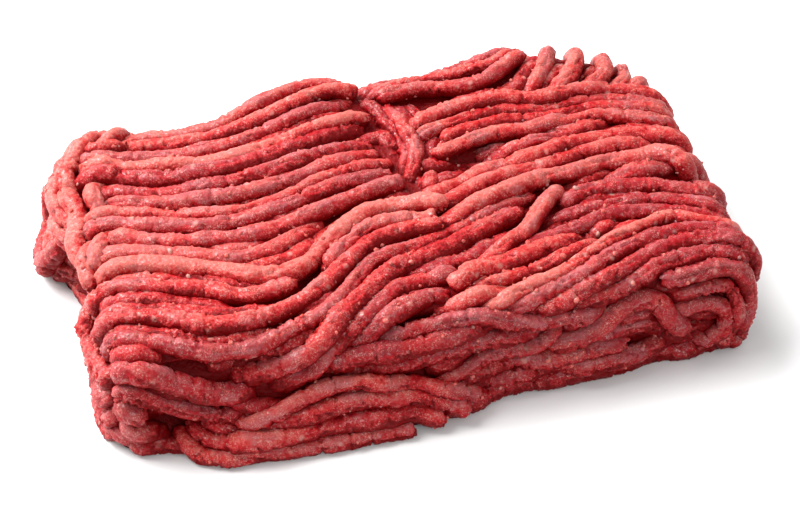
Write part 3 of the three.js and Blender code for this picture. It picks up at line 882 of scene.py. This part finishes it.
def strandTree():
    own = strandDetail
    n, given = geometryTree("strand maker", strandLook)
    toCurve = n.add("GeometryNodeMeshToCurve", {"Mesh": given["Geometry"]})
    inputs = {"Curve": toCurve.outputs[0], "Length": given["Step"]}
    resample = n.add("GeometryNodeResampleCurve", inputs, mode="LENGTH")
    along = n.add("GeometryNodeSplineParameter").outputs["Length"]
    whole = n.add("GeometryNodeSplineLength").outputs["Length"]
    heading = n.add("GeometryNodeInputTangent").outputs[0]
    place = n.add("GeometryNodeInputPosition").outputs[0]
    normal = n.add("GeometryNodeInputNormal").outputs[0]
    thick = n.named("thick")
    outward = n.named("outward", "FLOAT_VECTOR")
    curve = n.keep(resample.outputs[0], "along", along)
    curve = n.keep(curve, "sideways", n.vector("CROSS_PRODUCT", heading, outward), "FLOAT_VECTOR")

    # blunt round ends: the radius falls off over the last stretch
    toEnd = n.calc("MINIMUM", along, n.minus(whole, along))
    torn = n.noise(place, own["tornSize"])
    reach = n.times(thick, n.ramp(torn, *own["tornFrom"], *own["tornReach"]))
    left = n.minus(1.0, n.calc("DIVIDE", toEnd, reach, clamped=True))
    curve = n.keep(curve, "tip", left)
    dome = n.calc("SQRT", n.minus(1.0, n.calc("POWER", left, own["endPower"])))
    radius = n.times(thick, n.calc("MAXIMUM", dome, own["endLeast"]))
    circle = n.add("GeometryNodeCurvePrimitiveCircle", {"Resolution": given["Sides"]})
    inputs = {"Curve": curve, "Profile Curve": circle.outputs[0], "Scale": radius, "Fill Caps": True}
    tube = n.add("GeometryNodeCurveToMesh", inputs)

    # which way each spot of the surface looks: crown is how far it faces out and toward the key light,
    # and the material paints it by this in lit or shaded colours, painted light and shade
    lean = n.vector("NORMALIZE", n.vector("ADD", outward, given["Toward light"]))
    mesh = n.keep(tube.outputs[0], "crown", n.vector("DOT_PRODUCT", normal, lean))
    sideways = n.named("sideways", "FLOAT_VECTOR")
    mesh = n.keep(mesh, "flank", n.vector("DOT_PRODUCT", normal, sideways))

    # slow bellies, lumps and grains
    number = n.named("strandNumber")
    shift = n.xyz(n.times(number, own["numberShift"]), n.times(given["Seed"], own["seedShift"]))
    spot = n.vector("ADD", place, shift)
    belly = n.noise(spot, own["bellySize"], detail=1.0)
    belly = n.off(belly, n.times(given["Belly height"], own["bellyGain"]))
    lump = n.off(n.noise(spot, given["Lump size"]), n.times(given["Lump height"], own["lumpGain"]))
    patchy = n.ramp(n.noise(spot, own["raggedSize"], detail=1.0), *own["raggedFrom"], *own["ragged"])
    tips = n.ramp(n.named("tip"), 0.0, own["tipTo"], *own["tipRagged"])
    dulls = n.ramp(n.named("dull"), *own["dullFrom"], *own["dullRagged"])
    grain = n.minus(own["grainMiddle"], n.cells(spot, given["Grain size"])["Distance"])
    grain = n.times(grain, n.times(given["Grain height"], own["grainGain"]), n.times(patchy, tips), dulls)

    # cracks across a strand
    bend = n.times(n.noise(spot, own["bendSize"]), own["bend"])
    way = n.plus(n.named("along"), bend, n.times(number, own["crackShift"]))
    inputs = {"W": n.calc("DIVIDE", way, given["Crack spacing"]), "Scale": 1.0}
    cracks = n.add("ShaderNodeTexVoronoi", inputs, voronoi_dimensions="1D", feature="DISTANCE_TO_EDGE")
    crack = n.ramp(cracks.outputs["Distance"], 0.0, own["crackWidth"], 1.0, 0.0)
    cracked = n.ramp(n.noise(spot, own["crackPatch"], detail=1.0), *own["crackFrom"])
    crackDip = n.times(crack, cracked, given["Crack depth"])

    # seams along it, where strands have grown together
    seamAt = n.off(n.noise(n.xyz(n.named("along"), number), own["seamWave"]), own["seamGain"])
    seamGap = n.calc("ABSOLUTE", n.minus(n.named("flank"), seamAt))
    seam = n.ramp(seamGap, *own["seamWidth"], 1.0, 0.0)
    seamed = n.ramp(n.noise(spot, own["seamPatch"], detail=1.0), *own["seamFrom"])
    upper = n.ramp(n.named("crown"), *own["seamUpper"])
    seamDip = n.times(n.times(seam, seamed), n.times(upper, given["Seam depth"]))

    height = n.minus(n.minus(n.plus(belly, lump, grain), crackDip), seamDip)
    # relief goes to the material, which paints dips and cracks darker and bumps lighter: painted shade
    mesh = n.keep(mesh, "relief", height)
    mesh = n.place(mesh, Offset=n.vector("SCALE", normal, height))
    parts = n.add("ShaderNodeSeparateXYZ", {0: place}).outputs
    lifted = n.xyz(parts[0], parts[1], n.calc("MAXIMUM", parts[2], own["ground"]))
    return n.finish(n.place(mesh, Position=lifted), given["Material"])


# Materials.
meatColours = {  # linear light
    # deep and red are the painted shade of sides and creases, coral and salmon the painted light on
    # crowns facing the key light; dull, film and fat are the meat's own colours
    "deep": (0.15, 0.0002, 0.0012, 1),
    "red": (0.36, 0.0026, 0.0062, 1),
    "coral": (0.42, 0.030, 0.026, 1),
    "salmon": (0.48, 0.105, 0.088, 1),
    "dull": (0.23, 0.0065, 0.013, 1),
    "film": (0.34, 0.078, 0.086, 1),
    "fat": (0.56, 0.32, 0.27, 1),
}
meatLook = {
    # sizes of the patterns, in metres
    "patch": 0.010, "mottle": 0.0024, "fine": 0.0007, "grain": 0.0010, "streak": 0.011,
    "fleck": 0.0034, "speckNoise": 0.0004, "glint": 0.0007,
    "streakAcross": 1.6, "streakShift": 3.7, "streakCrown": 0.8,
    # what each adds to how light a spot is: crown and sunk give painted light and shade, relief gives
    # painted shade in dips and cracks, and the rest is the meat's own uneven tone
    "light": {"base": 0.08, "crown": 0.85, "mottle": 0.8, "patch": 1.5, "own": 0.35, "fine": 0.9,
              "dull": 0.3, "grain": 0.35, "relief": 300.0},
    "dullMiddle": 0.45, "grainMiddle": 0.4,
    # from which to which lightness the colours turn into each other
    "toRed": (0.15, 0.65), "toCoral": (0.5, 0.9), "toSalmon": (0.8, 1.25), "toDull": (0.3, 0.9),
    # dullness: how uneven it is, where it starts and is full, and its strength
    "dullPatch": 1.4, "dullOwn": 0.5, "dulled": (0.15, 0.95), "dullMost": 0.92,
    "filmStreak": (0.40, 0.68), "filmLight": (0.5, 1.1), "filmDull": (0.05, 0.6), "filmMost": 0.8,
    "paleLight": (0.1, 1.0), "paleMottle": (0.3, 0.6), "paleMost": 0.7,
    # flecks of fat, and the finest specks: the specks are pale grains of fat and painted glints in one,
    # and both fade out on the painted shade of the sides
    "fleckEdge": (0.08, 0.34), "fleckChosen": (0.76, 0.84), "fleckLight": (0.0, 0.5),
    "fleckRagged": 0.5, "fleckMost": 0.45,
    "speckFrom": (0.52, 0.64), "speckLight": (0.1, 0.8), "speckMottle": (0.35, 0.6), "speckMost": 0.46,
    "roughFrom": (0.3, 0.7), "rough": (0.36, 0.55),
    "wetLight": (0.1, 0.7), "wetGlint": (0.54, 0.62), "wetMost": 0.7,
    "grainHeight": 0.00026, "fineHeight": 0.00040,
}


def meatGroup():
    look = meatLook
    light = look["light"]
    tree = bpy.data.node_groups.new("minced meat surface", "ShaderNodeTree")
    for label in ("Crown", "Dull", "Pale", "Relief", "Along", "Flank", "Strand"):
        tree.interface.new_socket(label, in_out="INPUT", socket_type="NodeSocketFloat")
    tree.interface.new_socket("Place", in_out="INPUT", socket_type="NodeSocketVector")
    tree.interface.new_socket("Color", in_out="OUTPUT", socket_type="NodeSocketColor")
    for label in ("Roughness", "Wet", "Height"):
        tree.interface.new_socket(label, in_out="OUTPUT", socket_type="NodeSocketFloat")
    n = Nodes(tree)
    given = n.add("NodeGroupInput").outputs
    place = given["Place"]

    patches = n.noise(place, look["patch"])
    mottle = n.noise(place, look["mottle"], detail=3.0, rough=0.6)
    fine = n.noise(place, look["fine"], detail=3.0, rough=0.7)
    grain = n.minus(look["grainMiddle"], n.cells(place, look["grain"])["Distance"])
    shift = n.plus(n.times(given["Strand"], look["streakShift"]),
                   n.times(given["Crown"], look["streakCrown"]))
    way = n.xyz(n.calc("DIVIDE", given["Along"], look["streak"]),
                n.times(given["Flank"], look["streakAcross"]), shift)
    streak = n.noise(way, 1.0)
    dice = n.add("ShaderNodeTexWhiteNoise", {"W": given["Strand"]}, noise_dimensions="1D")
    ownTone = dice.outputs["Value"]

    # fresh strands run from deep red at their sides and in creases, painted shade, to salmon on their
    # crowns toward the key light, painted light
    lit = n.plus(n.times(given["Crown"], light["crown"]), light["base"],
                 n.off(mottle, light["mottle"]), n.off(patches, light["patch"]),
                 n.off(ownTone, light["own"]), n.off(fine, light["fine"]),
                 n.times(n.minus(look["dullMiddle"], given["Dull"]), light["dull"]),
                 n.times(grain, light["grain"]), n.times(given["Relief"], light["relief"]))
    red = n.blend(n.ramp(lit, *look["toRed"]), meatColours["deep"], meatColours["red"])
    fresh = n.blend(n.ramp(lit, *look["toCoral"]), red, meatColours["coral"])
    fresh = n.blend(n.ramp(lit, *look["toSalmon"]), fresh, meatColours["salmon"])
    # older ones are burgundy, red at their sides as painted shade, with a greyish pink film in streaks
    # along their crowns, shown only where lit: their own film and painted light in one
    dullness = n.plus(given["Dull"], n.off(patches, look["dullPatch"]),
                      n.off(ownTone, look["dullOwn"]))
    dulled = n.blend(n.ramp(lit, *look["toDull"]), red, meatColours["dull"])
    skin = n.blend(n.times(n.ramp(dullness, *look["dulled"]), look["dullMost"]), fresh, dulled)
    filmMask = n.times(n.ramp(streak, *look["filmStreak"]), n.ramp(lit, *look["filmLight"]),
                       n.ramp(dullness, *look["filmDull"]))
    skin = n.blend(n.times(filmMask, look["filmMost"]), skin, meatColours["film"])
    # pale strands turn salmon mostly where lit: their own smooth surface and painted light in one
    paleMask = n.times(given["Pale"], n.ramp(lit, *look["paleLight"]),
                       n.ramp(mottle, *look["paleMottle"]))
    skin = n.blend(n.times(paleMask, look["paleMost"]), skin, meatColours["salmon"])
    # pale flecks of fat
    flecks = n.cells(place, look["fleck"])
    chosen = n.add("ShaderNodeSeparateColor", {0: flecks["Color"]}).outputs[0]
    edge = n.plus(flecks["Distance"], n.off(mottle, look["fleckRagged"]))
    fleck = n.times(n.ramp(edge, *look["fleckEdge"], 1.0, 0.0), n.ramp(chosen, *look["fleckChosen"]),
                    n.ramp(lit, *look["fleckLight"]))
    # painted glints and pale grains of fat in one: fine specks, only where lit
    speckNoise = n.noise(place, look["speckNoise"], detail=2.0, rough=0.6)
    specks = n.times(n.ramp(speckNoise, *look["speckFrom"]), n.ramp(lit, *look["speckLight"]),
                     n.ramp(mottle, *look["speckMottle"]))
    pale = n.calc("MAXIMUM", n.times(fleck, look["fleckMost"]), n.times(specks, look["speckMost"]))
    glint = n.noise(place, look["glint"], detail=2.0, rough=0.6)
    coatAndLowDark = n.times(n.ramp(lit, *look["wetLight"]), n.ramp(glint, *look["wetGlint"]), look["wetMost"])
    height = n.plus(n.times(grain, look["grainHeight"]), n.times(fine, look["fineHeight"]))
    n.add("NodeGroupOutput", {"Color": n.blend(pale, skin, meatColours["fat"]), "Wet": coatAndLowDark,
                              "Roughness": n.ramp(fine, *look["roughFrom"], *look["rough"]),
                              "Height": height})
    return tree


meatShader = {
    # painted shade: sunken strands, and strands near the ground, are painted as dark as the shaded sides
    # of others
    "sunkShare": -0.55,  # sunken strands are as dark as the sides of others
    "bump": 0.9,
    "coatRoughness": 0.15, "specular": 0.12,
    "subsurface": 0.6, "subsurfaceRadius": (1.0, 0.12, 0.08), "subsurfaceScale": 0.0018,
}


def meatMaterial(name, group, fixed=None):
    material = bpy.data.materials.new(name)
    material.use_nodes = True
    tree = material.node_tree
    tree.nodes.clear()
    n = Nodes(tree)
    place = n.add("ShaderNodeTexCoord").outputs["Object"]
    surface = n.add("ShaderNodeGroup", node_tree=group)
    n.plug(surface.inputs["Place"], place)
    if fixed:
        for label, value in fixed.items():
            surface.inputs[label].default_value = value
    else:
        # painted shade: sunken places and places near the ground are painted darker
        depth = n.times(n.attribute("sunk"), meatShader["sunkShare"])
        n.plug(surface.inputs["Crown"], n.plus(n.attribute("crown"), depth))
        for label in ("Dull", "Pale", "Relief", "Along", "Flank"):
            n.plug(surface.inputs[label], n.attribute(label.lower()))
        n.plug(surface.inputs["Strand"], n.attribute("strandNumber"))
    inputs = {"Strength": meatShader["bump"], "Distance": 1.0, "Height": surface.outputs["Height"]}
    bump = n.add("ShaderNodeBump", inputs)
    shader = n.add("ShaderNodeBsdfPrincipled", {
        "Base Color": surface.outputs["Color"], "Roughness": surface.outputs["Roughness"],
        "Coat Weight": surface.outputs["Wet"], "Normal": bump.outputs[0],
        "Coat Roughness": meatShader["coatRoughness"], "Specular IOR Level": meatShader["specular"],
        "Subsurface Weight": meatShader["subsurface"],
        "Subsurface Radius": meatShader["subsurfaceRadius"],
        "Subsurface Scale": meatShader["subsurfaceScale"],
    })
    n.add("ShaderNodeOutputMaterial", {0: shader.outputs[0]})
    return material


surfaceGroup = meatGroup()


def newObject(name, mesh):
    obj = bpy.data.objects.new(name, mesh)
    bpy.context.collection.objects.link(obj)
    return obj


# Strands.
strandMaterial = meatMaterial("meat strands", surfaceGroup)
draws = random.Random(lay["seed"])
strands = []
number = 0
for ribbon in ribbons:
    strands += rowsOf(ribbon, number, draws)
    number += ribbon["rows"]
laid = len(strands)
strands += fillStrands(strands, draws, number)
print("strands laid", laid, "filled", len(strands) - laid)
pressTogether(strands)
findSunk(strands)
groups = {}
for strand in strands:
    groups.setdefault(strand["piece"], []).append(strand)
makeStrands = strandTree()
pieces = []
for name, members in groups.items():
    obj = newObject(name, linesMesh(name + "_lines", members))
    runTree(obj, makeStrands, strandLook, Material=strandMaterial)
    pieces.append(obj)
    triangles = sum(len(p.vertices) - 2 for p in obj.data.polygons)
    print("strands", name, len(members), "strands", triangles, "triangles")

# The core that shows between the strands, painted dark in the shaded-side colours as painted shade.
core = {
    "cuts": 46,
    "sink": 2.6,  # how far it stays behind the strands' centres
    "lump": 0.9, "lumpSize": 6,
    "footShare": 0.7,  # of the spread of the feet
    "underside": -0.999,  # places of the cube below this stay flat on the ground
    "topFrom": 0.9, "topGain": 10,  # right below the top: from which share of its height, how fast
    "level": 1e-6,  # a place that is not over an edge
    # painted shade: a low crown gives the core the colours of the shaded sides
    "looks": {"Crown": -0.45, "Dull": 0.5},
}


def buildCore():
    shell = bmesh.new()
    bmesh.ops.create_cube(shell, size=2)
    bmesh.ops.subdivide_edges(shell, edges=shell.edges[:], cuts=core["cuts"], use_grid_fill=True)
    for vertex in shell.verts:
        x = vertex.co.x * (flatX + block["edge"])
        y = vertex.co.y * (flatY + block["edge"])
        z = (vertex.co.z + 1) / 2 * topZ
        inner = Vector((clamp(x, -flatX, flatX), clamp(y, -flatY, flatY), min(z, turnZ)))
        away = Vector((x, y, z)) - inner
        outward = away.normalized() if away.length else Vector((0, 0, 1))
        skin = Vector((x, y, z)) if away.length < block["edge"] else inner + outward * block["edge"]
        rough = noise.noise(skin / core["lumpSize"]) * core["lump"]
        if vertex.co.z > core["underside"]:
            share = 1
            if away.length < core["level"]:
                share = clamp((z / topZ - core["topFrom"]) * core["topGain"], 0, 1)
            push = rough - core["sink"] - hollowAt(*unrolled(*skin))
            skin = skin + outward * push * share
        p = settle(*skin, core["footShare"])
        vertex.co = toScene((p.x, p.y, max(p.z, 0)))
    bmesh.ops.recalc_face_normals(shell, faces=shell.faces[:])
    mesh = bpy.data.meshes.new("core")
    shell.to_mesh(mesh)
    shell.free()
    mesh.shade_smooth()
    mesh.materials.append(meatMaterial("meat core", surfaceGroup, core["looks"]))
    return newObject("core", mesh)


hosts = pieces[:]
pieces.append(buildCore())
print("core", len(pieces[-1].data.polygons), "faces")

# Bits of fat and crumbs of meat that stick to the strands: sizes and rise in millimetres.
bits = {
    "fat_bits": {"count": 300, "least": 0.3, "most": 1.0, "rise": -0.45, "seed": 11},
    "crumbs": {"count": 1800, "least": 0.25, "most": 0.8, "rise": 0.1, "seed": 12},
}
bitShape = {
    "skew": 1.6,  # small ones are more common
    "stretch": (0.7, 1.4),
    "patch": 0.014, "patchy": 0.5,  # they come in patches of this size, in metres
    "clear": 1.4,  # none closer to the ground than this many sizes
}
bitsLook = {  # inputs of the tree that makes them, lengths in metres
    "Level": ("NodeSocketInt", 1),
    "Dent size": ("NodeSocketFloat", 0.0009),
    "Dent depth": ("NodeSocketFloat", 0.00035),
    "Material": ("NodeSocketMaterial", None),
}


def bitsTree():
    n, given = geometryTree("bits maker", bitsLook)
    ball = n.add("GeometryNodeMeshIcoSphere", {"Radius": 1.0, "Subdivisions": given["Level"]})
    turned = n.add("FunctionNodeEulerToRotation", {0: n.named("turn", "FLOAT_VECTOR")})
    spread = n.add("GeometryNodeInstanceOnPoints", {
        "Points": given["Geometry"], "Instance": ball.outputs["Mesh"],
        "Scale": n.named("size", "FLOAT_VECTOR"), "Rotation": turned.outputs[0],
    })
    real = n.add("GeometryNodeRealizeInstances", {0: spread.outputs[0]})
    place = n.add("GeometryNodeInputPosition").outputs[0]
    normal = n.add("GeometryNodeInputNormal").outputs[0]
    dent = n.off(n.noise(place, given["Dent size"], detail=1.0), given["Dent depth"])
    mesh = n.place(real.outputs[0], Offset=n.vector("SCALE", normal, dent))
    return n.finish(mesh, given["Material"])


def bitPlaces(name, chosen):
    draws = random.Random(chosen["seed"])
    weights = [len(host.data.polygons) for host in hosts]
    places = []
    sizes = []
    turns = []
    while len(places) < chosen["count"]:
        host = draws.choices(hosts, weights)[0]
        face = host.data.polygons[draws.randrange(len(host.data.polygons))]
        patch = noise.noise(face.center / bitShape["patch"] + Vector((0, 0, chosen["seed"])))
        if patch < draws.uniform(-bitShape["patchy"], bitShape["patchy"]):
            continue
        size = chosen["least"] + (chosen["most"] - chosen["least"]) * draws.random() ** bitShape["skew"]
        stretch = [size * draws.uniform(*bitShape["stretch"]) * mm for _ in range(3)]
        place = face.center + face.normal * size * chosen["rise"] * mm
        if place.z < size * mm * bitShape["clear"]:
            continue
        places.append(place)
        sizes += stretch
        turns += [draws.uniform(0, 2 * math.pi) for _ in range(3)]
    mesh = bpy.data.meshes.new(name + "_places")
    mesh.from_pydata(places, [], [])
    for key, numbers in (("size", sizes), ("turn", turns)):
        mesh.attributes.new(key, "FLOAT_VECTOR", "POINT").data.foreach_set("vector", numbers)
    return mesh


fatLook = {
    "tintSize": 0.004, "tint": (0.35, 0.65), "pale": (0.43, 0.21, 0.17, 1),
    "Roughness": 0.4, "Subsurface Weight": 0.3, "Subsurface Radius": (1.0, 0.4, 0.25),
    "Subsurface Scale": 0.0012,
}


def fatMaterial():
    material = bpy.data.materials.new("fat")
    material.use_nodes = True
    n = Nodes(material.node_tree)
    shader = material.node_tree.nodes["Principled BSDF"]
    tint = n.noise(n.add("ShaderNodeTexCoord").outputs["Object"], fatLook["tintSize"], detail=3.0)
    colour = n.blend(n.ramp(tint, *fatLook["tint"]), meatColours["film"], fatLook["pale"])
    n.plug(shader.inputs["Base Color"], colour)
    for label in ("Roughness", "Subsurface Weight", "Subsurface Radius", "Subsurface Scale"):
        shader.inputs[label].default_value = fatLook[label]
    return material


bitMaterials = {
    "fat_bits": fatMaterial(),
    # painted light: crumbs get the colours of a crown facing the key light all round
    "crumbs": meatMaterial("meat crumbs", surfaceGroup, {"Crown": 0.95, "Dull": -0.8}),
}
makeBits = bitsTree()
for name, chosen in bits.items():
    obj = newObject(name, bitPlaces(name, chosen))
    runTree(obj, makeBits, bitsLook, Material=bitMaterials[name])
    pieces.append(obj)
    print("bits", name, len(obj.data.polygons), "triangles")

for piece in pieces:
    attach(piece, "root")
    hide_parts("mince_block")

# Floor, light and camera: lengths in metres, angles in degrees.
studio = {
    "floor": 4.0,
    "floorColour": (0.76, 0.76, 0.76, 1), "floorRoughness": 0.8,
    "skyColour": (1, 1, 1, 1), "sky": 0.68,
    "key": {"place": (-0.45, 0.36, 0.66), "size": 0.8, "power": 25},
    "fill": {"place": (0.1, -0.9, 0.7), "size": 0.5, "power": 3},
    "azimuth": -14, "elevation": 41, "distance": 0.547,
    "lookAt": (0.0030, -0.0038, 0.017),
    "lens": 85, "sensor": 36,
}


def facing(obj, place, way):  # sets a lamp or the camera at a place, looking along the way
    obj.location = place
    obj.rotation_euler = way.to_track_quat("-Z", "Y").to_euler()


def buildStudio():
    half = studio["floor"] / 2
    mesh = bpy.data.meshes.new("floor")
    around = [(-half, -half, 0), (half, -half, 0), (half, half, 0), (-half, half, 0)]
    mesh.from_pydata(around, [], [(0, 1, 2, 3)])
    paint = bpy.data.materials.new("pale floor")
    paint.use_nodes = True
    shader = paint.node_tree.nodes["Principled BSDF"]
    shader.inputs["Base Color"].default_value = studio["floorColour"]
    shader.inputs["Roughness"].default_value = studio["floorRoughness"]
    mesh.materials.append(paint)
    newObject("floor", mesh)

    world = bpy.data.worlds.new("studio")
    bpy.context.scene.world = world
    world.use_nodes = True
    sky = world.node_tree.nodes["Background"].inputs
    sky["Color"].default_value = studio["skyColour"]
    sky["Strength"].default_value = studio["sky"]
    for name in ("key", "fill"):
        light = studio[name]
        lamp = bpy.data.lights.new(name, "AREA")
        lamp.energy = light["power"]
        lamp.size = light["size"]
        facing(newObject(name, lamp), light["place"], -Vector(light["place"]))

    turn = math.radians(studio["azimuth"])
    tilt = math.radians(studio["elevation"])
    back = Vector((math.sin(turn) * math.cos(tilt), -math.cos(turn) * math.cos(tilt), math.sin(tilt)))
    lens = bpy.data.cameras.new("camera")
    lens.lens = studio["lens"]
    lens.sensor_width = studio["sensor"]
    camera = newObject("camera", lens)
    facing(camera, Vector(studio["lookAt"]) + back * studio["distance"], -back)
    bpy.context.scene.camera = camera
    bpy.context.scene.view_settings.view_transform = "Standard"


buildStudio()
print("studio")
